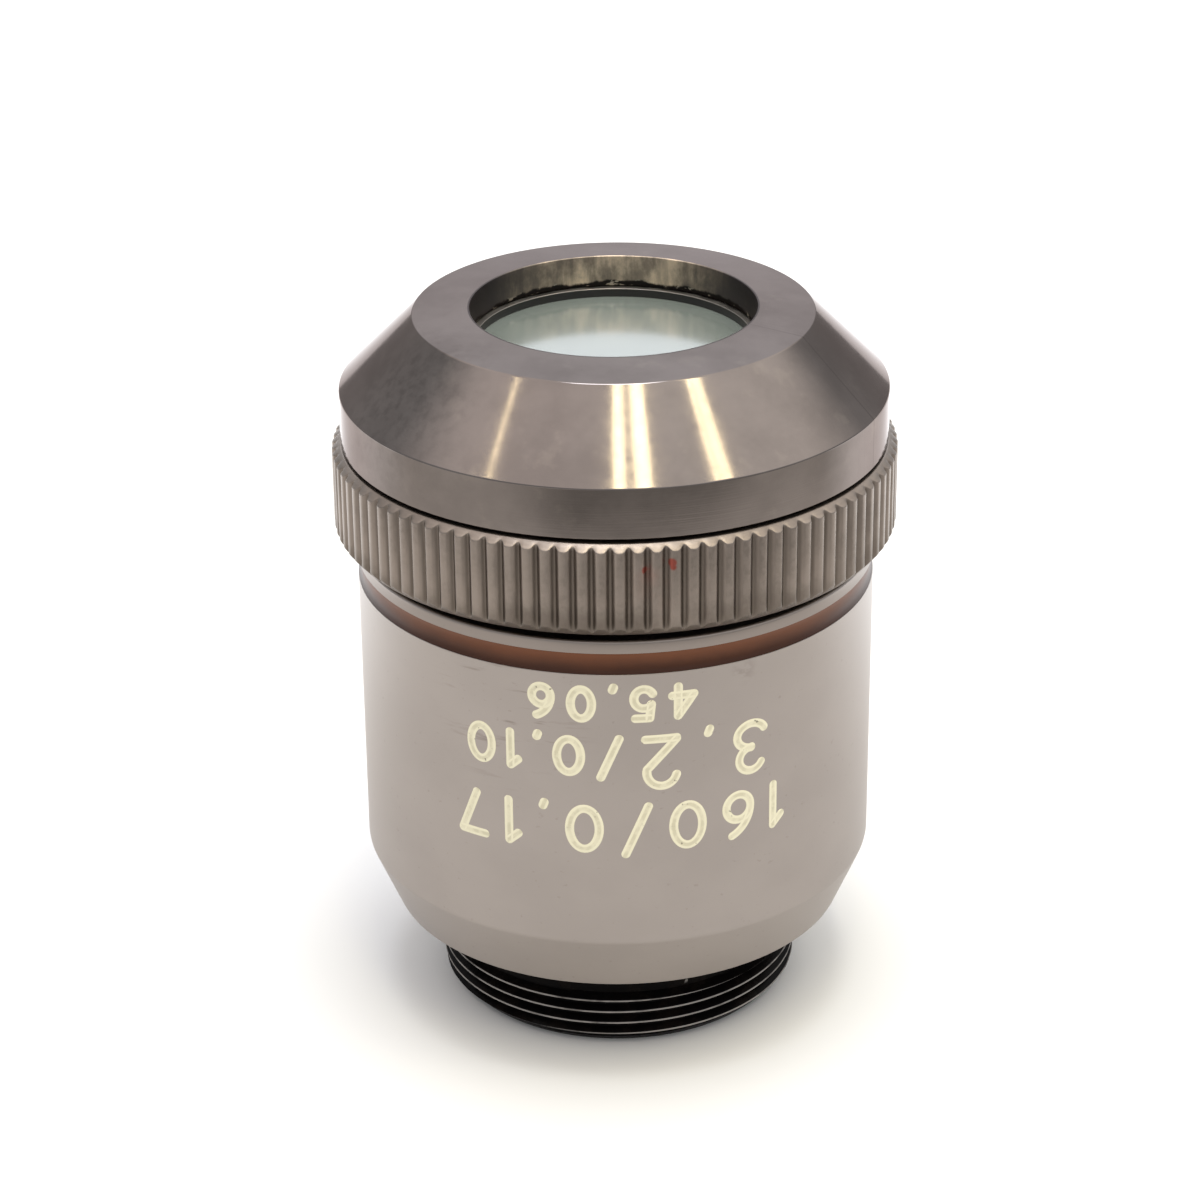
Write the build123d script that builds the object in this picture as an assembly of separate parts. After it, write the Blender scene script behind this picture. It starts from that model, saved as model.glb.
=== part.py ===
from build123d import *
from math import cos, pi, sin, sqrt
import os

# Low-power microscope objective, in millimetres.
# The origin is the centre of the thread's end face. +Z runs up the optical axis to the front lens.

# Fits between pieces
fit_gap = 0.02          # radial gap of pieces screwed or slid together
turn_gap = 0.05         # radial gap of the ring that turns on the neck
end_gap = 0.1           # axial gap where a screwed piece stops short of a face
cement_film = 0.03      # between the two glasses of a cemented pair

# Thread mount, the black piece that screws into the nosepiece
thread_d = 20.32        # standard objective thread, 36 turns per inch
thread_end_h = 3.2      # from the end face to the relief groove
lead_in = 0.82          # chamfer at the start of the thread
relief_depth = 0.46
mount_h = 5.66          # from the end face to the seating shoulder
thread_wall = 1.76      # between the thread's crests and the light bore
mount_bore_chamfer = 0.4
flange_t = 1.5
spigot_h = 4.0

# Barrel, the plated outer sleeve
barrel_h = 21.57
barrel_rim_wall = 1.09  # around the recess for the neck
taper_w = 1.47          # radial width of the taper towards the thread
taper_h = 3.47
shoulder_lip = 0.9      # around the thread mount's flange
rim_chamfer = 0.12
barrel_floor_t = 1.4
seat_depth = 1.03       # of the recess in the top of the barrel
band_w = 1.21           # colour groove
band_below_rim = 0.73
band_depth = 0.26
enamel_t = 0.1
shim_t = 0.2

# Neck and the knurled ring that turns on it
neck_step = 0.63        # the neck is wider than the tube by this radial width
neck_chamfer = 0.25
neck_in_nose = 1.9      # how far the neck reaches into the nose cone
ring_clear_below = 0.72
ring_clear_above = 0.2
ring_wall = 2.255
ring_h = 5.15
ring_chamfer = 0.485    # radial width of both chamfers
ring_chamfer_top_h = 0.35
ring_chamfer_low_h = 0.55
knurl_count = 100
knurl_depth = 0.29
knurl_land = 0.4        # share of the pitch that stays as a land

# Nose cone
nose_skirt_wall = 1.78  # around the neck
nose_land_h = 2.8
cone_h = 4.12
cone_w = 4.11           # radial width of the cone
face_rise = 0.285       # the front face rises to the aperture by this much
aperture_step = 0.32    # the aperture is wider than the front retaining ring's bore
nose_wall = 1.755       # front wall at the aperture

# Lens tube and what the cells stand in
tube_end_gap = 0.4      # between the lens tube and the barrel's floor
tube_wall = 2.95
tube_screw_wall = 1.63  # around the thread mount's spigot
ledge_t = 1.0
ledge_w = 2.6
spigot_relief_h = 0.8   # runout above the thread mount's spigot
spacer_wall = 1.98

# Front cell and its two lenses
front_cell_wall = 1.08  # around the front retaining ring
cell_flange_w = 1.82
cell_flange_t = 1.0
cell_cap_gap = 0.05     # between the front cell and the nose cone's wall
front_lens_d = 16.0
front_seat_w = 0.7      # flat seat around the clear part of the front two lenses
front_edge_t = 1.6
front_lens_sag = 0.9
front_ring_lap = 0.5    # the retaining ring is wider than its lens
front_ring_step = 0.15  # and its bore is wider than the lens's clear part
front_ring_t = 0.48
front_ledge_t = 1.6
second_cell_wall = 1.96
second_edge_t = 1.3
second_top_sag = 0.4
second_low_sag = -0.3
second_ring_t = 1.0
front_skirt_h = 1.6     # of the front cell below the second lens's ring

# Meniscus cell and its cemented pair
meniscus_cell_wall = 2.86
rear_seat_w = 0.9       # flat seat of the meniscus pair and the rear lenses
meniscus_floor_t = 0.8
flint_edge_t = 1.2
flint_low_sag = -0.9
meniscus_joint_sag = 0.6
crown_edge_t = 1.8
crown_top_sag = -0.7
meniscus_ring_t = 1.0
meniscus_lip_h = 0.2

# Rear cell, its single lens and its cemented pair
stop_t = 0.4
stop_d = 11.6
rear_cell_wall = 2.36
rear_top_ledge_t = 0.7
rear_flint_edge_t = 1.2
rear_flint_top_sag = -0.3
rear_joint_sag = 0.4
rear_crown_edge_t = 1.1
rear_crown_low_sag = 0.5
rear_spacer_t = 0.9
rear_lens_edge_t = 1.1
rear_lens_top_sag = 0.15
rear_lens_low_sag = 0.35
rear_lens_ring_t = 0.8
rear_lip_h = 0.1
rear_ring_t = 1.2
rear_ring_wall = 1.98
slot_w = 1.2            # spanner slots in the retaining rings
slot_depth = 0.4

# Diameters of the cells and lenses, from the front lens outwards and back in to each lens
front_clear_d = front_lens_d - 2 * front_seat_w
front_ring_bore_d = front_clear_d + 2 * front_ring_step
front_ring_d = front_lens_d + 2 * front_ring_lap
cell_d = front_ring_d + 2 * front_cell_wall
stack_d = cell_d + 2 * fit_gap
cell_flange_d = cell_d + 2 * cell_flange_w
second_lens_d = cell_d - 2 * (second_cell_wall + fit_gap)
second_clear_d = second_lens_d - 2 * front_seat_w
meniscus_d = cell_d - 2 * (meniscus_cell_wall + fit_gap)
meniscus_clear_d = meniscus_d - 2 * rear_seat_w
rear_lens_d = cell_d - 2 * (rear_cell_wall + fit_gap)
rear_clear_d = rear_lens_d - 2 * rear_seat_w

# Diameters of the lens tube and of the pieces around it
tube_d = stack_d + 2 * tube_wall
neck_d = tube_d + 2 * neck_step
ring_d = neck_d + 2 * (turn_gap + ring_wall)
nose_d = neck_d + 2 * (fit_gap + nose_skirt_wall)
face_d = nose_d - 2 * cone_w
aperture_d = front_ring_bore_d + 2 * aperture_step
barrel_bore_d = tube_d + 2 * fit_gap
seat_d = neck_d + 2 * fit_gap
barrel_d = seat_d + 2 * barrel_rim_wall
shoulder_d = barrel_d - 2 * taper_w
flange_d = shoulder_d - 2 * (shoulder_lip + fit_gap)
spigot_d = tube_d - 2 * (tube_screw_wall + fit_gap)
relief_d = thread_d - 2 * relief_depth
mount_bore_d = thread_d - 2 * thread_wall

# Heights of the outside, from the thread's end face upwards
flange_top = mount_h + flange_t
spigot_top = flange_top + spigot_h
floor_top = flange_top + barrel_floor_t
barrel_top = mount_h + barrel_h
band_top = barrel_top - band_below_rim
seat_z = barrel_top - seat_depth
ring_low = barrel_top + ring_clear_below
ring_top = ring_low + ring_h
nose_low = ring_top + ring_clear_above
tube_top = nose_low + neck_in_nose
cone_low = nose_low + nose_land_h
cone_top = cone_low + cone_h
front_z = cone_top + face_rise
nose_wall_low = front_z - nose_wall

# Heights of the rear stack, which stands on the rear retaining ring
rear_ring_low = spigot_top + spigot_relief_h
rear_cell_low = rear_ring_low + rear_ring_t
rear_lens_ring_low = rear_cell_low + rear_lip_h
rear_lens_low = rear_lens_ring_low + rear_lens_ring_t
rear_spacer_low = rear_lens_low + rear_lens_edge_t
rear_crown_low = rear_spacer_low + rear_spacer_t
rear_joint = rear_crown_low + rear_crown_edge_t
rear_flint_top = rear_joint + rear_flint_edge_t
rear_cell_top = rear_flint_top + rear_top_ledge_t
ledge_low = rear_cell_top + stop_t

# Heights of the meniscus cell, which stands on the tube's ledge
ledge_top = ledge_low + ledge_t
flint_low = ledge_top + meniscus_floor_t
meniscus_joint = flint_low + flint_edge_t
crown_top = meniscus_joint + crown_edge_t
meniscus_cell_top = crown_top + meniscus_ring_t + meniscus_lip_h

# Heights of the front cell, which hangs by its flange from the top of the tube
front_cell_top = nose_wall_low - cell_cap_gap
front_ring_low = front_cell_top - front_ring_t - fit_gap
front_lens_low = front_ring_low - front_edge_t
second_lens_top = front_lens_low - front_ledge_t
second_lens_low = second_lens_top - second_edge_t
second_ring_low = second_lens_low - second_ring_t
front_cell_low = second_ring_low - front_skirt_h


def turned(*points):
    # A closed outline of (radius, height) points, turned about the optical axis.
    outline = Polyline(*points, close=True)
    return revolve(make_face(Plane.XZ * outline), Axis.Z)


def tube(outer_d, bore_d, low, high):
    return turned(
        (bore_d / 2, low),
        (outer_d / 2, low),
        (outer_d / 2, high),
        (bore_d / 2, high),
    )


def polished(clear_r, height, rise):
    # Half of a polished surface, from its pole out to clear_r. A negative rise is a hollow.
    if rise == 0:
        return Line((0, height), (clear_r, height))
    sphere_r = (clear_r ** 2 + rise ** 2) / (2 * abs(rise))
    half_way = clear_r / 2
    drop = sphere_r - sqrt(sphere_r ** 2 - half_way ** 2)
    middle = height + rise - drop * (1 if rise > 0 else -1)
    return ThreePointArc((0, height + rise), (half_way, middle), (clear_r, height))


def lens(outer_d, low, high, low_clear_d, low_sag, top_clear_d, top_sag):
    # A flat seat surrounds each polished surface, and a sag is positive where the glass bulges out.
    edge = [(low_clear_d / 2, low), (outer_d / 2, low), (outer_d / 2, high), (top_clear_d / 2, high)]
    corners = [edge[0]] + [b for a, b in zip(edge, edge[1:]) if a != b]
    lower = polished(low_clear_d / 2, low, -low_sag)
    upper = polished(top_clear_d / 2, high, top_sag)
    axis = Line((0, low - low_sag), (0, high + top_sag))
    outline = Curve() + [lower, Polyline(*corners), upper, axis]
    return revolve(make_face(Plane.XZ * outline), Axis.Z)


def retaining_ring(outer_d, bore_d, low, high, slotted_face):
    ring = tube(outer_d, bore_d, low, high)
    slots = Pos(0, 0, slotted_face) * Box(2 * outer_d, slot_w, 2 * slot_depth)
    return ring - slots


def thread_mount():
    thread_r = thread_d / 2
    relief_r = relief_d / 2
    bore_r = mount_bore_d / 2
    return turned(
        (bore_r, mount_bore_chamfer),
        (bore_r + mount_bore_chamfer, 0),
        (thread_r - lead_in, 0),
        (thread_r, lead_in),
        (thread_r, thread_end_h),
        (relief_r, thread_end_h + thread_r - relief_r),
        (relief_r, mount_h),
        (flange_d / 2, mount_h),
        (flange_d / 2, flange_top),
        (spigot_d / 2, flange_top),
        (spigot_d / 2, spigot_top),
        (bore_r, spigot_top),
    )


def barrel_sleeve():
    outer_r = barrel_d / 2
    groove_r = outer_r - band_depth
    flange_r = flange_d / 2 + fit_gap
    spigot_r = spigot_d / 2 + fit_gap
    return turned(
        (flange_r, mount_h),
        (shoulder_d / 2, mount_h),
        (outer_r, mount_h + taper_h),
        (outer_r, band_top - band_w),
        (groove_r, band_top - band_w),
        (groove_r, band_top),
        (outer_r, band_top),
        (outer_r, barrel_top - rim_chamfer),
        (outer_r - rim_chamfer, barrel_top),
        (seat_d / 2, barrel_top),
        (seat_d / 2, seat_z),
        (barrel_bore_d / 2, seat_z),
        (barrel_bore_d / 2, floor_top),
        (spigot_r, floor_top),
        (spigot_r, flange_top),
        (flange_r, flange_top),
    )


def colour_band():
    floor_d = barrel_d - 2 * band_depth + 2 * fit_gap
    return tube(floor_d + 2 * enamel_t, floor_d, band_top - band_w, band_top)


def parfocal_shim():
    return tube(neck_d, barrel_bore_d, seat_z, seat_z + shim_t)


def lens_tube():
    neck_r = neck_d / 2
    tube_r = tube_d / 2
    stack_r = stack_d / 2
    screw_r = spigot_d / 2 + fit_gap
    return turned(
        (screw_r, floor_top + tube_end_gap),
        (tube_r, floor_top + tube_end_gap),
        (tube_r, seat_z + shim_t),
        (neck_r, seat_z + shim_t),
        (neck_r, tube_top - neck_chamfer),
        (neck_r - neck_chamfer, tube_top),
        (stack_r, tube_top),
        (stack_r, ledge_top),
        (stack_r - ledge_w, ledge_top),
        (stack_r - ledge_w, ledge_low),
        (stack_r, ledge_low),
        (stack_r, rear_ring_low),
        (screw_r, rear_ring_low),
    )


def knurl_outline():
    # One tooth is a land on the outer circle and the bottom of the V groove beside it.
    outer_r = ring_d / 2
    root_r = outer_r - knurl_depth
    pitch = 2 * pi / knurl_count
    points = []
    for tooth in range(knurl_count):
        land_start = tooth * pitch
        for r, angle in (
            (outer_r, land_start),
            (outer_r, land_start + knurl_land * pitch),
            (root_r, land_start + (1 + knurl_land) / 2 * pitch),
        ):
            points.append((r * cos(angle), r * sin(angle)))
    return make_face(Polyline(*points, close=True))


def knurled_ring():
    outer_r = ring_d / 2
    edge_r = outer_r - ring_chamfer
    bore_r = neck_d / 2 + turn_gap
    blank = turned(
        (bore_r, ring_low),
        (edge_r, ring_low),
        (outer_r, ring_low + ring_chamfer_low_h),
        (outer_r, ring_top - ring_chamfer_top_h),
        (edge_r, ring_top),
        (bore_r, ring_top),
    )
    return blank & Pos(0, 0, ring_low) * extrude(knurl_outline(), ring_h)


def nose_cone():
    aperture_r = aperture_d / 2
    screw_r = neck_d / 2 + fit_gap
    cell_r = stack_d / 2 + fit_gap
    flange_r = cell_flange_d / 2 + fit_gap
    clamp_z = tube_top + cell_flange_t
    return turned(
        (screw_r, nose_low),
        (nose_d / 2, nose_low),
        (nose_d / 2, cone_low),
        (face_d / 2, cone_top),
        (aperture_r, front_z),
        (aperture_r, nose_wall_low),
        (cell_r, nose_wall_low),
        (cell_r, clamp_z),
        (flange_r, clamp_z),
        (flange_r, tube_top + end_gap),
        (screw_r, tube_top + end_gap),
    )


def front_cell():
    cell_r = cell_d / 2
    flange_r = cell_flange_d / 2
    return turned(
        (cell_r, front_cell_low),
        (cell_r, tube_top),
        (flange_r, tube_top),
        (flange_r, tube_top + cell_flange_t),
        (cell_r, tube_top + cell_flange_t),
        (cell_r, front_cell_top),
        (front_ring_d / 2, front_cell_top),
        (front_ring_d / 2, front_ring_low),
        (front_lens_d / 2 + fit_gap, front_ring_low),
        (front_lens_d / 2 + fit_gap, front_lens_low),
        (front_clear_d / 2, front_lens_low),
        (front_clear_d / 2, second_lens_top),
        (second_lens_d / 2 + fit_gap, second_lens_top),
        (second_lens_d / 2 + fit_gap, front_cell_low),
    )


def front_retaining_ring():
    high = front_ring_low + front_ring_t
    return tube(front_ring_d - 2 * fit_gap, front_ring_bore_d, front_ring_low, high)


def front_lens():
    high = front_lens_low + front_edge_t
    return lens(front_lens_d, front_lens_low, high, front_clear_d, front_lens_sag, front_clear_d, 0)


def second_lens():
    return lens(
        second_lens_d, second_lens_low, second_lens_top,
        second_clear_d, second_low_sag, second_clear_d, second_top_sag,
    )


def second_lens_ring():
    return retaining_ring(second_lens_d, second_clear_d, second_ring_low, second_lens_low, second_ring_low)


def cell_spacer():
    # It fills the tube from the meniscus cell up to the front cell, so it takes up any change between them.
    return tube(cell_d, cell_d - 2 * spacer_wall, meniscus_cell_top, front_cell_low)


def meniscus_cell():
    bore_r = meniscus_d / 2 + fit_gap
    return turned(
        (meniscus_clear_d / 2, ledge_top),
        (cell_d / 2, ledge_top),
        (cell_d / 2, meniscus_cell_top),
        (bore_r, meniscus_cell_top),
        (bore_r, flint_low),
        (meniscus_clear_d / 2, flint_low),
    )


def meniscus_flint():
    return lens(
        meniscus_d, flint_low, meniscus_joint,
        meniscus_clear_d, flint_low_sag, meniscus_d, meniscus_joint_sag,
    )


def meniscus_crown():
    return lens(
        meniscus_d, meniscus_joint + cement_film, crown_top,
        meniscus_d, -meniscus_joint_sag, meniscus_clear_d, crown_top_sag,
    )


def meniscus_ring():
    high = crown_top + meniscus_ring_t
    return retaining_ring(meniscus_d, meniscus_clear_d, crown_top, high, high)


def aperture_stop():
    return tube(cell_d, stop_d, rear_cell_top, ledge_low)


def rear_cell():
    bore_r = rear_lens_d / 2 + fit_gap
    return turned(
        (bore_r, rear_cell_low),
        (cell_d / 2, rear_cell_low),
        (cell_d / 2, rear_cell_top),
        (rear_clear_d / 2, rear_cell_top),
        (rear_clear_d / 2, rear_flint_top),
        (bore_r, rear_flint_top),
    )


def rear_flint():
    return lens(
        rear_lens_d, rear_joint + cement_film, rear_flint_top,
        rear_lens_d, -rear_joint_sag, rear_clear_d, rear_flint_top_sag,
    )


def rear_crown():
    return lens(
        rear_lens_d, rear_crown_low, rear_joint,
        rear_clear_d, rear_crown_low_sag, rear_lens_d, rear_joint_sag,
    )


def rear_lens_spacer():
    return tube(rear_lens_d, rear_clear_d, rear_spacer_low, rear_crown_low)


def rear_lens():
    return lens(
        rear_lens_d, rear_lens_low, rear_spacer_low,
        rear_clear_d, rear_lens_low_sag, rear_clear_d, rear_lens_top_sag,
    )


def rear_lens_ring():
    return retaining_ring(rear_lens_d, rear_clear_d, rear_lens_ring_low, rear_lens_low, rear_lens_ring_low)


def rear_retaining_ring():
    bore_d = cell_d - 2 * rear_ring_wall
    return retaining_ring(cell_d, bore_d, rear_ring_low, rear_cell_low, rear_ring_low)


pieces = {
    "thread_mount": thread_mount,
    "barrel_sleeve": barrel_sleeve,
    "colour_band": colour_band,
    "parfocal_shim": parfocal_shim,
    "lens_tube": lens_tube,
    "knurled_ring": knurled_ring,
    "nose_cone": nose_cone,
    "front_cell": front_cell,
    "front_retaining_ring": front_retaining_ring,
    "front_lens": front_lens,
    "second_lens": second_lens,
    "second_lens_ring": second_lens_ring,
    "cell_spacer": cell_spacer,
    "meniscus_cell": meniscus_cell,
    "meniscus_crown": meniscus_crown,
    "meniscus_flint": meniscus_flint,
    "meniscus_ring": meniscus_ring,
    "aperture_stop": aperture_stop,
    "rear_cell": rear_cell,
    "rear_flint": rear_flint,
    "rear_crown": rear_crown,
    "rear_lens_spacer": rear_lens_spacer,
    "rear_lens": rear_lens,
    "rear_lens_ring": rear_lens_ring,
    "rear_retaining_ring": rear_retaining_ring,
}

os.makedirs("parts", exist_ok=True)
for name, make in pieces.items():
    export_step(make(), f"parts/{name}.step")
print("height", round(front_z, 3), "spacer", round(front_cell_low - meniscus_cell_top, 3))
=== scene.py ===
import bmesh
import bpy
from math import atan2, ceil, cos, pi, radians, sin, sqrt
from mathutils import Matrix, Vector


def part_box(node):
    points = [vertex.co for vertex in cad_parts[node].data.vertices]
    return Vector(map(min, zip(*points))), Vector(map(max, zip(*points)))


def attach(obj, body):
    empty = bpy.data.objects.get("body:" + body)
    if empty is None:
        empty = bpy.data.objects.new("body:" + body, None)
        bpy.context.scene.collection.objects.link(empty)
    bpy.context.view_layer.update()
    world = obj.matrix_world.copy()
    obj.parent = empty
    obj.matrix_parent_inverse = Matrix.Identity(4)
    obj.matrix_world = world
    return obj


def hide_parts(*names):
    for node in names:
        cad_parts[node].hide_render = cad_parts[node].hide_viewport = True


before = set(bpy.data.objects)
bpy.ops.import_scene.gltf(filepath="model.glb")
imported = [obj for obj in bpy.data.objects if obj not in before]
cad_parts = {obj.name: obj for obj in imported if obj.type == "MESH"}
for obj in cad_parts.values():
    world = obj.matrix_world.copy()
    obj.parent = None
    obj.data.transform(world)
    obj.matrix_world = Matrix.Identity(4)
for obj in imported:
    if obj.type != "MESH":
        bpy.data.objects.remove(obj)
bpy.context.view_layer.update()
mm = 0.001
print("frame loaded", len(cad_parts), "nodes")


# Node helpers, used by every material and by the world

def addNode(tree, kind, inputs=None, **settings):
    made = tree.nodes.new(kind)
    for key, value in settings.items():
        setattr(made, key, value)
    for key, value in (inputs or {}).items():
        if isinstance(value, bpy.types.NodeSocket):
            tree.links.new(value, made.inputs[key])
        else:
            made.inputs[key].default_value = value
    return made


def calc(tree, operation, first, second=0.0):
    return addNode(tree, "ShaderNodeMath", {0: first, 1: second}, operation=operation).outputs[0]


def times(tree, first, second):
    return calc(tree, "MULTIPLY", first, second)


def plus(tree, first, second):
    return calc(tree, "ADD", first, second)


def most(tree, first, second):
    return calc(tree, "MAXIMUM", first, second)


def spread(tree, value, low, high, toLow=0.0, toHigh=1.0):  # a smooth step from low to high
    made = addNode(tree, "ShaderNodeMapRange", {
        "Value": value, "From Min": low, "From Max": high, "To Min": toLow, "To Max": toHigh,
    }, interpolation_type="SMOOTHSTEP")
    return made.outputs["Result"]


def metres(step):  # a step whose ends are given in mm
    return (step[0] * mm, step[1] * mm, *step[2:])


def blendColour(tree, factor, first, second):
    made = addNode(tree, "ShaderNodeMix", {"Factor": factor}, data_type="RGBA")
    for socket, value in ((made.inputs[6], first), (made.inputs[7], second)):  # its two colour sockets
        if isinstance(value, bpy.types.NodeSocket):
            tree.links.new(value, socket)
        else:
            socket.default_value = (*value, 1.0)
    return made.outputs[2]


def grain(tree, place, stretch, detail=3.0, roughness=0.5):  # noise, its size given as repeats a metre
    moved = addNode(tree, "ShaderNodeMapping", {"Vector": place, "Scale": stretch})
    made = addNode(tree, "ShaderNodeTexNoise", {
        "Vector": moved.outputs[0], "Scale": 1.0, "Detail": detail, "Roughness": roughness,
    })
    return made.outputs["Fac"]


def nearSpot(tree, place, azimuthDeg, radius, height, size, edge):  # 1 on the spot, falling over its edge
    angle = radians(azimuthDeg)
    middle = (radius * sin(angle) * mm, -radius * cos(angle) * mm, height * mm)
    made = addNode(tree, "ShaderNodeVectorMath", {0: place, 1: middle}, operation="DISTANCE")
    return spread(tree, made.outputs["Value"], *metres((size, size + edge)), 1.0, 0.0)


def newMaterial(name, **sockets):
    material = bpy.data.materials.new(name)
    material.use_nodes = True
    tree = material.node_tree
    shader = tree.nodes["Principled BSDF"]
    for key, value in sockets.items():
        words = key.replace("_", " ")
        shader.inputs[words].default_value = (*value, 1.0) if isinstance(value, tuple) else value
    place = addNode(tree, "ShaderNodeTexCoord").outputs["Object"]
    return material, tree, shader, place


def roundCoords(tree, place):  # radius from the optical axis, azimuth from the front, and height
    parts = addNode(tree, "ShaderNodeSeparateXYZ", {0: place})
    x, y, z = parts.outputs
    radius = calc(tree, "SQRT", plus(tree, times(tree, x, x), times(tree, y, y)))
    azimuth = calc(tree, "ARCTAN2", x, times(tree, y, -1.0))
    return radius, azimuth, z


def drifted(tree, height, pattern, swing):  # a height that wanders by a swing in mm
    return plus(tree, height, times(tree, calc(tree, "SUBTRACT", pattern, 0.5), swing * mm))


def mottled(tree, pattern, look):
    dark, light = [tuple(c * look[key] for c in look["colour"]) for key in ("darker", "lighter")]
    return blendColour(tree, spread(tree, pattern, *look["cloudStep"]), dark, light)


def roughen(tree, shader, pattern, look):
    rough = plus(tree, look["roughness"], times(tree, pattern, look["roughSwing"]))
    tree.links.new(rough, shader.inputs["Roughness"])


def addBump(tree, shader, height, look):
    made = addNode(tree, "ShaderNodeBump", {
        "Height": height, "Strength": look["bumpStrength"], "Distance": look["bumpDepth"] * mm,
    })
    tree.links.new(made.outputs[0], shader.inputs["Normal"])


# Materials. A noise is given by its repeats a metre along X, Y and Z, its detail and its roughness.
# A step is where a change starts and ends, and what it goes from and to. A spot is its azimuth from
# the front in degrees, then its radius, height, size and the width of its fading edge in mm.

barrelFinish = {
    "colour": (0.360, 0.330, 0.310), "darker": 0.965, "lighter": 1.035,
    "cloud": ((170, 170, 240), 5.0), "cloudStep": (0.3, 0.7),
    "roughness": 0.29, "roughSwing": 0.1,
    "lines": ((260, 260, 16000), 2.0), "bumpStrength": 0.12, "bumpDepth": 0.01,
    # the dirt colour paints the dirt marks and also the painted shade on the rim
    "dirtAndShade": (0.12, 0.09, 0.07), "dirtStrength": 0.45,
    "streaks": ((330, 330, 2600), 4.0), "streakStep": (0.57, 0.70),
    "streakSpot": (-24, 14.3, 22.6, 1.5, 4.0),
    "smudge": ((1500, 1500, 2500), 4.0), "smudgeStep": (0.45, 0.62, 0.0, 0.5),
    "smudgeSpot": (28, 14.3, 24.7, 0.1, 0.9),
    "pepper": ((2600, 2600, 3600), 3.0), "pepperStep": (0.66, 0.76, 0.0, 0.35),
    "rimShadeStep": (26.45, 26.55, 0.0, 0.38),  # painted shade: the rim above the colour groove, under the knurled ring, is darkened
}


def satinPlate(name, look):
    material, tree, shader, place = newMaterial(name, Metallic=1.0)
    z = roundCoords(tree, place)[2]
    cloud = grain(tree, place, *look["cloud"])
    base = mottled(tree, cloud, look)
    streaks = spread(tree, grain(tree, place, *look["streaks"]), *look["streakStep"])
    streaks = times(tree, streaks, nearSpot(tree, place, *look["streakSpot"]))
    smudge = spread(tree, grain(tree, place, *look["smudge"]), *look["smudgeStep"])
    smudge = times(tree, nearSpot(tree, place, *look["smudgeSpot"]), smudge)
    pepper = spread(tree, grain(tree, place, *look["pepper"]), *look["pepperStep"])
    marks = most(tree, most(tree, streaks, smudge), pepper)
    base = blendColour(tree, times(tree, marks, look["dirtStrength"]), base, look["dirtAndShade"])
    # painted shade on the rim under the knurled ring, in the dirt colour
    base = blendColour(tree, spread(tree, z, *metres(look["rimShadeStep"])), base, look["dirtAndShade"])
    tree.links.new(base, shader.inputs["Base Color"])
    roughen(tree, shader, cloud, look)
    addBump(tree, shader, grain(tree, place, *look["lines"]), look)
    return material


noseFinish = {
    "colour": (0.185, 0.163, 0.152), "darker": 0.86, "lighter": 1.12,
    "cloud": ((150, 150, 190), 6.0, 0.6), "cloudStep": (0.32, 0.68), "fine": ((1500, 1500, 1500), 4.0, 0.6),
    "edgeTint": (0.60, 0.56, 0.55),  # it stays dull at a glancing view
    "roughness": 0.055, "roughSwing": 0.10,
    "lines": ((200, 200, 12000), 2.0), "fineShare": 0.6, "bumpStrength": 0.10, "bumpDepth": 0.008,
    # painted reflection: a soft dark patch on the cone's left stands in for a dark thing mirrored there
    "dark": (0.07, 0.062, 0.058), "darkReflectionStep": (0.40, 0.72), "darkReflectionSpot": (-57, 13.0, 38.0, 0.5, 6.0),
    "darkReflectionStrength": 0.4,
    # painted reflection: thin dark lines on the cone's right stand in for something thin and dark mirrored
    # there
    "darkReflectionLines": ((60, 60, 60), 3.0), "darkLineStep": (0.56, 0.62), "darkLineStrength": 0.45,
    "darkLineFrom": (1.0, 1.1), "darkLineTo": (1.25, 1.35, 1.0, 0.0),  # azimuths in radians
    "wearAndSheen": (0.27, 0.24, 0.21), "wear": ((420, 420, 420), 5.0, 0.65), "wearStep": (0.57, 0.72),
    "wearStrength": 0.25,
}
boreFinish = {
    # painted light and shade: the bore's lit back is golden and its shaded front dull
    "litGolden": (0.86, 0.70, 0.52), "shadedDull": (0.085, 0.078, 0.078), "roughness": 0.33,
    "radiusStep": (7.85, 7.90, 1.0, 0.0),
    "litBackStep": (2.1, 2.85),  # in radians: the bore's back has azimuth pi, its front 0
    "tarnish": ((420, 420, 300), 5.0, 0.65), "tarnishStep": (0.36, 0.6, 0.3, 1.0),
    "streaks": ((1300, 1300, 200), 5.0, 0.65), "streakStep": (0.3, 0.62, 0.45, 1.0),
    # painted shadow at the bottom of the bore, flecked with painted glints
    "black": (0.021, 0.0186, 0.0174), "bottomShadowStep": (38.90, 39.05, 1.0, 0.0), "ragged": 0.9,
    "glints": ((1100, 1100, 2600), 4.0, 0.6), "glintStep": (0.56, 0.64), "glint": (0.62, 0.56, 0.46),
    "glintStrength": 0.8,
}


def boreWithPaintedLight(tree, place, azimuth, z, look):  # painted light and shade: golden at the lit back, dull at the shaded front, with tarnish and streaks, and a painted shadow with painted glints at the bottom
    tarnish = grain(tree, place, *look["tarnish"])
    # painted light on the bore's back, in tarnished patches
    clear = times(tree, spread(tree, calc(tree, "ABSOLUTE", azimuth), *look["litBackStep"]),
                  spread(tree, tarnish, *look["tarnishStep"]))
    clear = times(tree, clear, spread(tree, grain(tree, place, *look["streaks"]), *look["streakStep"]))
    base = blendColour(tree, clear, look["shadedDull"], look["litGolden"])
    # painted shadow along the bottom of the bore, with painted glints on it
    bottomShadow = spread(tree, drifted(tree, z, tarnish, look["ragged"]), *metres(look["bottomShadowStep"]))
    base = blendColour(tree, bottomShadow, base, look["black"])
    glints = times(tree, bottomShadow, spread(tree, grain(tree, place, *look["glints"]), *look["glintStep"]))
    return blendColour(tree, times(tree, glints, look["glintStrength"]), base, look["glint"])


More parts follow.
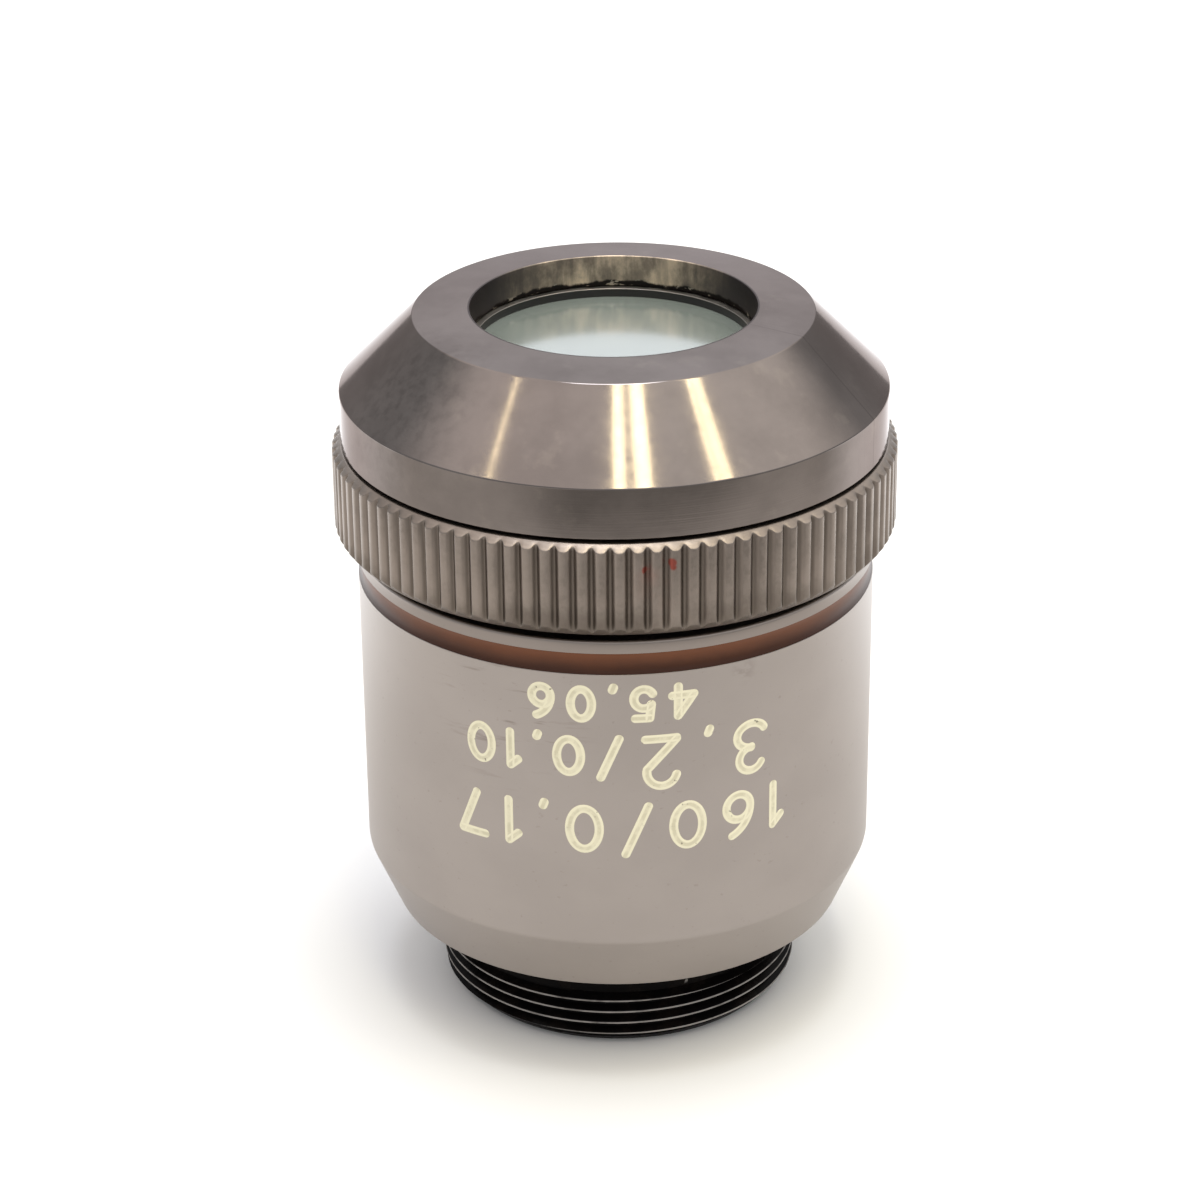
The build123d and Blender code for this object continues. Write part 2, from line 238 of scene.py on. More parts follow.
def wornNose(name, look, bore):
    material, tree, shader, place = newMaterial(name, Metallic=1.0, Specular_Tint=look["edgeTint"])
    radius, azimuth, z = roundCoords(tree, place)
    fine = grain(tree, place, *look["fine"])
    base = mottled(tree, grain(tree, place, *look["cloud"]), look)
    # painted reflection of a dark thing, a soft patch on the cone's left
    dark = times(tree, spread(tree, fine, *look["darkReflectionStep"]), nearSpot(tree, place, *look["darkReflectionSpot"]))
    base = blendColour(tree, times(tree, dark, look["darkReflectionStrength"]), base, look["dark"])
    # painted reflection: thin dark lines between these azimuths on the cone's right
    roundWay = addNode(tree, "ShaderNodeCombineXYZ", {0: azimuth}).outputs[0]
    darkReflectionLines = spread(tree, grain(tree, roundWay, *look["darkReflectionLines"]), *look["darkLineStep"])
    darkReflectionLines = times(tree, darkReflectionLines, spread(tree, azimuth, *look["darkLineFrom"]))
    darkReflectionLines = times(tree, darkReflectionLines, spread(tree, azimuth, *look["darkLineTo"]))
    base = blendColour(tree, times(tree, darkReflectionLines, look["darkLineStrength"]), base, look["dark"])
    wear = spread(tree, grain(tree, place, *look["wear"]), *look["wearStep"])
    base = blendColour(tree, times(tree, wear, look["wearStrength"]), base, look["wearAndSheen"])
    inBore = spread(tree, radius, *metres(bore["radiusStep"]))
    base = blendColour(tree, inBore, base, boreWithPaintedLight(tree, place, azimuth, z, bore))
    tree.links.new(base, shader.inputs["Base Color"])
    rough = plus(tree, look["roughness"], times(tree, fine, look["roughSwing"]))
    tree.links.new(plus(tree, rough, times(tree, inBore, bore["roughness"])), shader.inputs["Roughness"])
    lines = plus(tree, grain(tree, place, *look["lines"]), times(tree, fine, look["fineShare"]))
    addBump(tree, shader, lines, look)
    return material


ringFinish = {
    "colour": (0.240, 0.206, 0.180), "darker": 0.82, "lighter": 1.12,
    "cloud": ((260, 260, 260), 5.0, 0.6), "cloudStep": (0.35, 0.65), "fine": ((2600, 2600, 2600), 4.0, 0.6),
    "roughness": 0.32, "roughSwing": 0.18, "bumpStrength": 0.25, "bumpDepth": 0.012,
    "lowStep": (28.1, 28.5), "highStep": (32.7, 33.0, 1.0, 0.0),  # the grooves are painted darker between these heights
    "dirtAndShade": (0.105, 0.088, 0.073), "grooveStep": (15.22, 15.38, 1.0, 0.0), "patchStep": (0.3, 0.7, 0.45, 1.0),
    "grooveStrength": 0.85, "lowDarkeningStep": (28.2, 29.8, 0.55, 0.0), "lowDarkeningDrift": 3.0,
    # painted highlight and rubbed wear: the ridge tops are lighter, in patches
    "ridge": (0.30, 0.262, 0.232), "ridgeStep": (15.415, 15.475), "rubAndSheenStep": (0.35, 0.6, 0.2, 1.0),
    "ridgeHighlightStrength": 0.5,
    "red": (0.30, 0.035, 0.02), "redStrength": 0.75,
    "redSpots": [
        (5.8, 15.42, 31.75, 0.16, 0.13), (10.8, 15.42, 32.1, 0.17, 0.13), (11.0, 15.42, 31.85, 0.1, 0.13),
    ],
    "stainSpot": (8.4, 15.4, 31.0, 0.4, 1.4), "stainStep": (0.45, 0.65, 0.0, 0.16),
}


def wornRing(name, look):
    material, tree, shader, place = newMaterial(name, Metallic=1.0)
    radius, _, z = roundCoords(tree, place)
    cloud = grain(tree, place, *look["cloud"])
    fine = grain(tree, place, *look["fine"])
    base = mottled(tree, cloud, look)
    onWall = spread(tree, z, *metres(look["lowStep"]))
    onWall = times(tree, onWall, spread(tree, z, *metres(look["highStep"])))
    # the grooves are painted darker, in patches
    groove = times(tree, spread(tree, radius, *metres(look["grooveStep"])), onWall)
    groove = times(tree, groove, spread(tree, cloud, *look["patchStep"]))
    base = blendColour(tree, times(tree, groove, look["grooveStrength"]), base, look["dirtAndShade"])
    # painted highlight and rubbed wear on the ridge tops
    ridge = spread(tree, radius, *metres(look["ridgeStep"]))
    ridge = times(tree, ridge, spread(tree, fine, *look["rubAndSheenStep"]))
    base = blendColour(tree, times(tree, ridge, look["ridgeHighlightStrength"]), base, look["ridge"])
    # darker towards the ring's bottom, along a wandering edge
    lowDarkening = spread(tree, drifted(tree, z, cloud, look["lowDarkeningDrift"]), *metres(look["lowDarkeningStep"]))
    base = blendColour(tree, lowDarkening, base, look["dirtAndShade"])
    red = 0.0
    for spot in look["redSpots"]:
        red = most(tree, nearSpot(tree, place, *spot), red)
    stain = times(tree, nearSpot(tree, place, *look["stainSpot"]), spread(tree, cloud, *look["stainStep"]))
    base = blendColour(tree, most(tree, times(tree, red, look["redStrength"]), stain), base, look["red"])
    tree.links.new(base, shader.inputs["Base Color"])
    roughen(tree, shader, fine, look)
    addBump(tree, shader, fine, look)
    return material


enamelFinish = {
    # painted shade: the enamel is lighter at the top of its groove and darker at the bottom
    "top": (0.145, 0.048, 0.018), "bottom": (0.040, 0.014, 0.007), "roughness": 0.36, "index": 1.32,
    "cloud": ((420, 420, 700), 5.0, 0.6), "drift": 0.5, "bumpStrength": 0.2, "bumpDepth": 0.05,
}


def brownEnamel(name, look):
    material, tree, shader, place = newMaterial(name, Roughness=look["roughness"], IOR=look["index"])
    low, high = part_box("colour_band")
    z = roundCoords(tree, place)[2]
    cloud = grain(tree, place, *look["cloud"])
    # painted shade, darker towards the bottom of the groove
    upwards = spread(tree, drifted(tree, z, cloud, look["drift"]), low.z, high.z)
    tree.links.new(blendColour(tree, upwards, look["bottom"], look["top"]), shader.inputs["Base Color"])
    addBump(tree, shader, cloud, look)
    return material


blackFinish = {
    "colour": (0.0022, 0.0020, 0.0021), "brown": (0.0060, 0.0044, 0.0038), "index": 1.12,
    "cloud": ((600, 600, 900), 5.0, 0.6), "brownStep": (0.45, 0.7),
    "roughness": 0.16, "roughSwing": 0.2,
    "fine": ((3000, 3000, 3000), 3.0), "bumpStrength": 0.1, "bumpDepth": 0.005,
    # painted reflection: a light grey sheen along the thread's crests, in patches
    "wearAndSheen": (0.42, 0.40, 0.38), "crestSheenStep": (10.12, 10.14), "rubAndSheenStep": (0.3, 0.55, 0.35, 1.0),
    "sheenAndDustStrength": 0.75,
    "dustSpot": (22.5, 9.7, 3.75, 0.18, 0.25), "dustStep": (0.5, 0.56), "dustStrength": 0.8,
}


def blackBrass(name, look, crests):  # crests says whether the piece has a thread whose crests get a painted sheen
    material, tree, shader, place = newMaterial(name, IOR=look["index"])
    radius = roundCoords(tree, place)[0]
    cloud = grain(tree, place, *look["cloud"])
    fine = grain(tree, place, *look["fine"])
    base = blendColour(tree, spread(tree, cloud, *look["brownStep"]), look["colour"], look["brown"])
    if crests:
        # painted reflection along the crests, with a dust mark
        wearAndSheen = spread(tree, radius, *metres(look["crestSheenStep"]))
        wearAndSheen = times(tree, wearAndSheen, spread(tree, cloud, *look["rubAndSheenStep"]))
        dust = times(tree, nearSpot(tree, place, *look["dustSpot"]), spread(tree, fine, *look["dustStep"]))
        wearAndSheen = most(tree, wearAndSheen, times(tree, dust, look["dustStrength"]))
        base = blendColour(tree, times(tree, wearAndSheen, look["sheenAndDustStrength"]), base, look["wearAndSheen"])
    tree.links.new(base, shader.inputs["Base Color"])
    roughen(tree, shader, cloud, look)
    addBump(tree, shader, fine, look)
    return material


cellFinish = {
    "dark": (0.012, 0.012, 0.012), "light": (0.03, 0.029, 0.028), "index": 1.5,
    "cloud": ((900, 900, 900), 4.0), "cloudStep": (0.35, 0.65),
    "roughness": 0.3, "roughSwing": 0.2, "bumpStrength": 0.15, "bumpDepth": 0.01,
}
brassFinish = {
    "dark": (0.48, 0.34, 0.14), "light": (0.62, 0.47, 0.22),
    "cloud": ((500, 500, 500), 4.0), "cloudStep": (0.35, 0.65), "roughness": 0.25, "roughSwing": 0.2,
}


def twoTone(name, look, **sockets):  # the finish of the inner pieces
    material, tree, shader, place = newMaterial(name, **sockets)
    cloud = grain(tree, place, *look["cloud"])
    base = blendColour(tree, spread(tree, cloud, *look["cloudStep"]), look["dark"], look["light"])
    tree.links.new(base, shader.inputs["Base Color"])
    roughen(tree, shader, cloud, look)
    if "bumpStrength" in look:
        addBump(tree, shader, cloud, look)
    return material


rubbedFinish = {
    "black": (0.012, 0.012, 0.011), "grey": (0.30, 0.285, 0.26), "index": 1.5,
    "cloud": ((900, 900, 900), 4.0), "rubAndSheenStep": (0.3, 0.6, 0.6, 1.0), "roughness": 0.28, "roughSwing": 0.2,
    "rubFrom": 0.05, "rubTo": 0.02,  # below the ring's top
}


def rubbedRing(name, look, high):  # black, with its top face, high in m, rubbed down to grey metal
    material, tree, shader, place = newMaterial(name, IOR=look["index"])
    z = roundCoords(tree, place)[2]
    cloud = grain(tree, place, *look["cloud"])
    onTop = spread(tree, z, high - look["rubFrom"] * mm, high - look["rubTo"] * mm)
    rubbed = times(tree, onTop, spread(tree, cloud, *look["rubAndSheenStep"]))
    tree.links.new(blendColour(tree, rubbed, look["black"], look["grey"]), shader.inputs["Base Color"])
    tree.links.new(rubbed, shader.inputs["Metallic"])
    roughen(tree, shader, cloud, look)
    return material


glassFinish = {
    "index": 1.62,
    "tint": (0.90, 0.95, 0.91), "tintHaze": ((500, 500, 500), 4.0), "tintStep": (0.45, 0.8, 0.0, 0.05),
    # painted reflection: the front lens has a pale green-grey diffuse colour standing in for the reflections
    # in it
    "reflectionTintDark": (0.2914, 0.3384, 0.3055), "reflectionTint": (0.31, 0.36, 0.325),
    "reflectionHaze": ((330, 330, 330), 4.0), "reflectionStep": (0.35, 0.65),
    "clearShare": 0.45, "reflectionRoughness": 0.12, "gloss": 1.0, "glossIndex": 1.65, "glossRoughness": 0.17,
    # the second lens's coated faces send a soft light back
    "coat": (0.74, 0.80, 0.73), "coatMetal": 0.6,
    "coatHaze": ((260, 260, 260), 4.0), "coatStep": (0.3, 0.7, 0.21, 0.28),
}


def coatedGlass(name, look):
    material, tree, shader, place = newMaterial(
        name, Base_Color=look["tint"], IOR=look["index"], Transmission_Weight=1.0)
    haze = grain(tree, place, *look["tintHaze"])
    tree.links.new(spread(tree, haze, *look["tintStep"]), shader.inputs["Roughness"])
    return material


def reflectionPaintedGlass(name, look):
    material, tree, shader, place = newMaterial(
        name, Roughness=look["reflectionRoughness"], IOR=look["index"], Transmission_Weight=look["clearShare"],
        Coat_Weight=look["gloss"], Coat_IOR=look["glossIndex"], Coat_Roughness=look["glossRoughness"])
    # painted reflection: a green-grey colour in soft patches
    haze = spread(tree, grain(tree, place, *look["reflectionHaze"]), *look["reflectionStep"])
    tree.links.new(blendColour(tree, haze, look["reflectionTintDark"], look["reflectionTint"]), shader.inputs["Base Color"])
    return material


def hazedGlass(name, look):
    material, tree, shader, place = newMaterial(
        name, Base_Color=look["coat"], Metallic=look["coatMetal"], IOR=look["index"])
    haze = grain(tree, place, *look["coatHaze"])
    tree.links.new(spread(tree, haze, *look["coatStep"]), shader.inputs["Roughness"])
    return material


paintFinish = {
    # painted highlight and shade: the strokes' edges are lighter and their middle darker, as on filled
    # grooves, with a painted shadow line at the rim
    "edge": (0.76, 0.73, 0.55), "middle": (0.58, 0.55, 0.40), "speck": (0.05, 0.04, 0.03),
    "rim": (0.35, 0.31, 0.2), "roughness": 0.55, "index": 1.45,
    "cloud": ((1400, 1400, 1400), 4.0, 0.6), "cloudStep": (0.4, 0.6, 0.35, 1.0),
    "bumpStrength": 0.2, "bumpDepth": 0.03,
    # shares of the stroke's width, away from its middle
    "middleStep": (0.12, 0.3, 1.0, 0.0), "rimShadeStep": (0.45, 0.5), "rimShadeStrength": 0.3,
    "specks": ((2900, 2900, 2900), 3.0), "speckStep": (0.68, 0.74), "speckStrength": 0.7,
    "chipSpot": (-19.1, 14.3, 15.84, 0.14, 0.12),
}


def creamPaint(name, look):
    material, tree, shader, place = newMaterial(name, Roughness=look["roughness"], IOR=look["index"])
    stroke = addNode(tree, "ShaderNodeUVMap", uv_map="stroke").outputs[0]
    across = addNode(tree, "ShaderNodeSeparateXYZ", {0: stroke}).outputs[0]
    off = calc(tree, "ABSOLUTE", calc(tree, "SUBTRACT", across, 0.5))
    cloud = grain(tree, place, *look["cloud"])
    # painted shade in the middle of a stroke, painted highlight at its edges
    middleShade = times(tree, spread(tree, off, *look["middleStep"]), spread(tree, cloud, *look["cloudStep"]))
    base = blendColour(tree, middleShade, look["edge"], look["middle"])
    # painted shadow line along the stroke's rim
    rim = spread(tree, off, *look["rimShadeStep"])
    base = blendColour(tree, times(tree, rim, look["rimShadeStrength"]), base, look["rim"])
    specks = spread(tree, grain(tree, place, *look["specks"]), *look["speckStep"])
    specks = most(tree, times(tree, specks, look["speckStrength"]), nearSpot(tree, place, *look["chipSpot"]))
    tree.links.new(blendColour(tree, specks, base, look["speck"]), shader.inputs["Base Color"])
    addBump(tree, shader, cloud, look)
    return material


barrelMaterial = satinPlate("satinPlate", barrelFinish)
noseMaterial = wornNose("wornNosePlate", noseFinish, boreFinish)
ringMaterial = wornRing("wornRingPlate", ringFinish)
enamelMaterial = brownEnamel("brownEnamel", enamelFinish)
threadMaterial = blackBrass("blackThread", blackFinish, True)
tubeMaterial = blackBrass("blackTube", blackFinish, False)
cellMaterial = twoTone("blackCell", cellFinish, IOR=cellFinish["index"])
frontRingMaterial = rubbedRing("rubbedRing", rubbedFinish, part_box("front_retaining_ring")[1].z)
brassMaterial = twoTone("bareBrass", brassFinish, Metallic=1.0)
glassMaterial = coatedGlass("coatedGlass", glassFinish)
reflectionPaintedMaterial = reflectionPaintedGlass("reflectionPaintedGlass", glassFinish)
hazedMaterial = hazedGlass("hazedGlass", glassFinish)
paintMaterial = creamPaint("creamPaint", paintFinish)
print("materials made", len(bpy.data.materials))


# Turned pieces. An outline is a closed loop of (radius, height) in mm, and a third number eases a corner.

turning = {
    "largeColumns": 320, "smallColumns": 256, "lensColumns": 160,
    "easeShare": 0.45, "weldWithin": 1e-7,
}


def easedOutline(outline, steps=3):  # an ease takes at most its share of a side
    points = []
    for i, corner in enumerate(outline):
        if len(corner) < 3:
            points.append(Vector(corner))
            continue
        here = Vector(corner[:2])
        back = Vector(outline[i - 1][:2]) - here
        on = Vector(outline[(i + 1) % len(outline)][:2]) - here
        start = here + back.normalized() * min(corner[2], back.length * turning["easeShare"])
        end = here + on.normalized() * min(corner[2], on.length * turning["easeShare"])
        for k in range(steps + 1):
            t = k / steps
            points.append(start * (1 - t) ** 2 + here * 2 * t * (1 - t) + end * t ** 2)
    return points


def finishMesh(mesh, material, sharpDeg=38.0):
    work = bmesh.new()
    work.from_mesh(mesh)
    bmesh.ops.remove_doubles(work, verts=work.verts, dist=turning["weldWithin"])
    bmesh.ops.recalc_face_normals(work, faces=work.faces)
    work.to_mesh(mesh)
    work.free()
    mesh.materials.clear()
    mesh.materials.append(material)
    mesh.shade_smooth()
    mesh.set_sharp_from_angle(angle=radians(sharpDeg))


def linkPiece(name, mesh, weighted=True):
    piece = bpy.data.objects.new(name, mesh)
    bpy.context.scene.collection.objects.link(piece)
    if weighted:
        evened = piece.modifiers.new("evenShading", "WEIGHTED_NORMAL")
        evened.keep_sharp = True
    return piece


def turnedPiece(name, outline, material, columns):
    points = easedOutline(outline)
    rows = len(points)
    verts, faces = [], []
    for j in range(columns):
        angle = 2 * pi * j / columns
        verts += [(p.x * mm * sin(angle), -p.x * mm * cos(angle), p.y * mm) for p in points]
        nextColumn = (j + 1) % columns * rows
        for i in range(rows):
            k = (i + 1) % rows
            faces.append((j * rows + i, j * rows + k, nextColumn + k, nextColumn + i))
    mesh = bpy.data.meshes.new(name)
    mesh.from_pydata(verts, [], faces)
    finishMesh(mesh, material)
    return linkPiece(name, mesh)


def arcPoints(clearR, height, rise, steps=20):  # half of a polished face, from clearR in to the axis
    if rise == 0:
        return [(clearR, height), (0.0, height)]
    sphereR = (clearR ** 2 + rise ** 2) / (2 * abs(rise))
    side = 1 if rise > 0 else -1
    points = []
    for k in range(steps + 1):
        r = clearR * (1 - k / steps)
        points.append((r, height + rise - side * (sphereR - sqrt(sphereR ** 2 - r ** 2))))
    return points


def lensPiece(name, rimR, low, high, lowFace, highFace, material):  # a face is (clear radius, rise)
    outline = list(reversed(arcPoints(lowFace[0], low, lowFace[1])))
    outline += [(rimR, low), (rimR, high)] + arcPoints(highFace[0], high, highFace[1])
    return turnedPiece(name, outline, material, turning["lensColumns"])


# Barrel, with its colour groove and the band in it

barrelLow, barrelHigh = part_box("barrel_sleeve")
bandLow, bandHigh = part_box("colour_band")
barrelShape = {
    "outerR": barrelHigh.x / mm, "low": barrelLow.z / mm, "high": barrelHigh.z / mm,
    "shoulderR": 12.82, "shoulderEase": 0.06, "taperHeight": 3.47, "taperEase": 0.16,
    "grooveDepth": 0.26, "grooveEase": 0.03, "rimChamfer": 0.12, "rimEase": 0.08,
    "seatR": 13.2, "seatDepth": 1.03, "boreR": 12.57, "floorThick": 1.4,
    "flangeR": 11.92, "flangeThick": 1.5, "spigotR": 10.92,
    # the enamel stands up at the groove's edges and dips between them
    "enamelGap": 0.003, "enamelBack": 0.005, "enamelLowLip": 0.10, "enamelHighLip": 0.08,
    "enamelDip": 0.03, "enamelSlope": 0.30,
}


def buildBarrel(shape):
    low, high, outerR = shape["low"], shape["high"], shape["outerR"]
    bandBottom, bandTop = bandLow.z / mm, bandHigh.z / mm
    grooveR, grooveEase = outerR - shape["grooveDepth"], shape["grooveEase"]
    chamfer, rimEase = shape["rimChamfer"], shape["rimEase"]
    taperTop = low + shape["taperHeight"]
    flangeTop = low + shape["flangeThick"]
    floorTop = flangeTop + shape["floorThick"]
    seatZ = high - shape["seatDepth"]
    outline = [
        (shape["flangeR"], low), (shape["shoulderR"], low, shape["shoulderEase"]),
        (outerR, taperTop, shape["taperEase"]), (outerR, bandBottom, grooveEase), (grooveR, bandBottom),
        (grooveR, bandTop), (outerR, bandTop, grooveEase), (outerR, high - chamfer, rimEase),
        (outerR - chamfer, high, rimEase), (shape["seatR"], high, rimEase),
        (shape["seatR"], seatZ), (shape["boreR"], seatZ), (shape["boreR"], floorTop),
        (shape["spigotR"], floorTop), (shape["spigotR"], flangeTop), (shape["flangeR"], flangeTop),
    ]
    barrel = turnedPiece("barrel", outline, barrelMaterial, turning["largeColumns"])
    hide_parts("barrel_sleeve")
    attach(barrel, "objective")
    faceR, backR = bandHigh.x / mm, grooveR + shape["enamelBack"]
    dipR, slope = faceR - shape["enamelDip"], shape["enamelSlope"]
    bottom, top = bandBottom + shape["enamelGap"], bandTop - shape["enamelGap"]
    band = turnedPiece("colourBand", [
        (backR, bottom), (faceR + shape["enamelLowLip"], bottom), (dipR, bandBottom + slope, slope),
        (dipR, bandTop - slope, slope), (faceR + shape["enamelHighLip"], top), (backR, top),
    ], enamelMaterial, turning["smallColumns"])
    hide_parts("colour_band")
    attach(band, "objective")


buildBarrel(barrelShape)


# Nose cone with the aperture, the ring in it and the two front lenses

noseLow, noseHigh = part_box("nose_cone")
noseShape = {
    "outerR": noseHigh.x / mm, "low": noseLow.z / mm, "high": noseHigh.z / mm,
    "landTop": 36.10, "faceR": 10.87, "faceZ": 40.22, "apertureR": 7.77, "wallLow": 38.75,
    "cellR": 9.62, "clampZ": 36.20, "flangeR": 11.42, "neckTop": 35.30, "screwR": 13.2,
    "ease": 0.07, "boreEase": 0.05,
}


def buildNose(shape):
    ease, boreEase, outerR = shape["ease"], shape["boreEase"], shape["outerR"]
    nose = turnedPiece("noseCone", [
        (shape["screwR"], shape["low"]), (outerR, shape["low"], ease), (outerR, shape["landTop"], ease),
        (shape["faceR"], shape["faceZ"], ease), (shape["apertureR"], shape["high"], boreEase),
        (shape["apertureR"], shape["wallLow"], boreEase), (shape["cellR"], shape["wallLow"]),
        (shape["cellR"], shape["clampZ"]), (shape["flangeR"], shape["clampZ"]),
        (shape["flangeR"], shape["neckTop"]), (shape["screwR"], shape["neckTop"]),
    ], noseMaterial, turning["largeColumns"])
    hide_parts("nose_cone")
    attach(nose, "objective")


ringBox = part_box("front_retaining_ring")
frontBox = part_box("front_lens")
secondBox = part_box("second_lens")
lensShape = {
    "frontR": frontBox[1].x / mm, "frontTop": frontBox[1].z / mm, "frontBottom": frontBox[0].z / mm,
    "clearR": 7.3, "topBulge": 0, "lowBulge": 0.9,  # the front lens is flat in front
    "secondR": secondBox[1].x / mm, "secondBottom": secondBox[0].z / mm, "secondTop": secondBox[1].z / mm,
    "secondClearR": 6.9, "secondBulge": 0.4, "secondHollow": 0.3,
    "ringOuterR": ringBox[1].x / mm, "ringBoreR": 7.45, "ringOuterEase": 0.03, "ringBoreEase": 0.04,
    "ringLow": ringBox[0].z / mm, "ringHigh": ringBox[1].z / mm,
}


def buildFrontOptics(shape):
    front = lensPiece("frontLens", shape["frontR"],
                      shape["frontBottom"] + shape["lowBulge"], shape["frontTop"] - shape["topBulge"],
                      (shape["clearR"], -shape["lowBulge"]), (shape["clearR"], shape["topBulge"]),
                      reflectionPaintedMaterial)
    second = lensPiece("secondLens", shape["secondR"],
                       shape["secondBottom"], shape["secondTop"] - shape["secondBulge"],
                       (shape["secondClearR"], shape["secondHollow"]),
                       (shape["secondClearR"], shape["secondBulge"]), hazedMaterial)
    ring = turnedPiece("frontRing", [
        (shape["ringBoreR"], shape["ringLow"]), (shape["ringOuterR"], shape["ringLow"]),
        (shape["ringOuterR"], shape["ringHigh"], shape["ringOuterEase"]),
        (shape["ringBoreR"], shape["ringHigh"], shape["ringBoreEase"]),
    ], frontRingMaterial, turning["smallColumns"])
    for piece, node, slot in (
        (front, "front_lens", "coated_glass"),
        (second, "second_lens", "coated_glass"),
        (ring, "front_retaining_ring", "cell_black"),
    ):
        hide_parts(node)
        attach(piece, "objective")


buildNose(noseShape)
buildFrontOptics(lensShape)
print("turned pieces made")


# Thread mount with a true right-handed thread

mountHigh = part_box("thread_mount")[1]
threadShape = {
    # share of the pitch from a crest's middle, with the drop from the crest or the rise from the root
    "crest": [(-0.10, 0.055), (-0.05, 0.008), (0.0, 0.0), (0.05, 0.008), (0.10, 0.055)],
    "root": [(0.42, 0.03), (0.50, 0.0), (0.58, 0.03)], "firstTurn": -4,
    "crestR": 10.16, "rootR": 9.71, "pitch": 25.4 / 36, "crestAtFront": 1.51, "runOutZ": 2.95,
    "reliefR": 9.7, "reliefZ": 3.25, "endR": 9.34, "boreR": 8.4, "boreEase": 0.4,
    "shoulderZ": barrelLow.z / mm, "flangeR": mountHigh.x / mm, "flangeTop": 7.16, "spigotR": 10.9,
    "top": mountHigh.z / mm, "columns": 288, "sharpDeg": 30.0,
}


def buildThread(shape):
    crestR, rootR, pitch = shape["crestR"], shape["rootR"], shape["pitch"]
    turn = [(share, crestR - drop) for share, drop in shape["crest"]]
    turn += [(share, rootR + rise) for share, rise in shape["root"]]
    topZ, reliefR = shape["reliefZ"], shape["reliefR"]
    turns = range(shape["firstTurn"], ceil(topZ / pitch) + 2)
    slope = (crestR - reliefR) / (topZ - shape["runOutZ"])
    rest = [
        (reliefR, shape["shoulderZ"]), (shape["flangeR"], shape["shoulderZ"]),
        (shape["flangeR"], shape["flangeTop"]), (shape["spigotR"], shape["flangeTop"]),
        (shape["spigotR"], shape["top"]), (shape["boreR"], shape["top"]), (shape["boreR"], shape["boreEase"]),
        (shape["boreR"] + shape["boreEase"], 0.0), (shape["endR"], 0.0),
    ]
    rows = len(turns) * len(turn) + len(rest)
    columns = shape["columns"]
    verts, faces = [], []
    for j in range(columns + 1):  # the last column meets the first one a turn further up
        angle = 2 * pi * j / columns
        profile = []
        for n in turns:
            for share, r in turn:
                z = shape["crestAtFront"] + pitch * (n + share + j / columns)
                z = min(max(z, 0.0), topZ)
                limit = min(shape["endR"] + z, reliefR + slope * (topZ - z))
                profile.append((min(r, limit) if z < topZ else reliefR, z))
        profile += rest
        verts += [(r * mm * sin(angle), -r * mm * cos(angle), z * mm) for r, z in profile]
    for j in range(columns):
        for i in range(rows):
            k = (i + 1) % rows
            faces.append((j * rows + i, j * rows + k, (j + 1) * rows + k, (j + 1) * rows + i))
    mesh = bpy.data.meshes.new("threadMount")
    mesh.from_pydata(verts, [], faces)
    finishMesh(mesh, threadMaterial, shape["sharpDeg"])
    mount = linkPiece("threadMount", mesh, False)
    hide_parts("thread_mount")
    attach(mount, "objective")


buildThread(threadShape)


# Knurled ring: one ridge is modelled, and a node tree sets it round the axis

ringLow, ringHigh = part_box("knurled_ring")
ringShape = {
    "outerR": ringHigh.x / mm, "low": ringLow.z / mm, "high": ringHigh.z / mm, "boreR": 13.23,
    "edgeR": 15.0, "lowChamfer": 0.55, "topChamfer": 0.35,
    "edgeEase": 0.05, "lowEase": 0.07, "topEase": 0.06,
    "ridges": 100, "depth": 0.29, "crown": 0.025,
    "land": 0.4, "wear": 0.03,  # shares of a ridge's pitch
    "cuts": 16, "mergeWithin": 0.002 * mm, "sharpDeg": 50.0,
}


def ridgeRadius(shape, share):  # a worn V groove, with its bottom in the middle of what the land leaves
    middle = (1 + shape["land"]) / 2
    halfGroove = (1 - shape["land"]) / 2 + shape["wear"]
    off = abs(share - middle) / halfGroove
    if off >= 1.0:  # the land is worn a little round
        halfLand = shape["land"] / 2
        across = ((share if share < middle else share - 1) - halfLand) / halfLand
        return shape["outerR"] - shape["crown"] * across ** 2
    return shape["outerR"] - shape["crown"] - (shape["depth"] - shape["crown"]) * (0.5 + 0.5 * cos(pi * off))


def ridgeMesh(shape):
    shares = [k / shape["cuts"] for k in range(shape["cuts"] + 1)]
    low, high, boreR, edgeR = shape["low"], shape["high"], shape["boreR"], shape["edgeR"]
    width = shape["outerR"] - edgeR
    verts, faces = [], []
    for share in shares:
        angle = 2 * pi * share / shape["ridges"]
        wallR = ridgeRadius(shape, share % 1.0)
        climb = (wallR - edgeR) / width
        lowZ, highZ = low + climb * shape["lowChamfer"], high - climb * shape["topChamfer"]
        profile = easedOutline([
            (boreR, low), (edgeR, low, shape["edgeEase"]), (wallR, lowZ, shape["lowEase"]),
            (wallR, highZ, shape["topEase"]), (edgeR, high, shape["edgeEase"]), (boreR, high),
        ], 2)
        verts += [(p.x * mm * cos(angle), p.x * mm * sin(angle), p.y * mm) for p in profile]
    rows = len(profile)
    for j in range(len(shares) - 1):
        for i in range(rows):
            k = (i + 1) % rows
            faces.append((j * rows + i, (j + 1) * rows + i, (j + 1) * rows + k, j * rows + k))
    mesh = bpy.data.meshes.new("oneRidge")
    mesh.from_pydata(verts, [], faces)
    return mesh


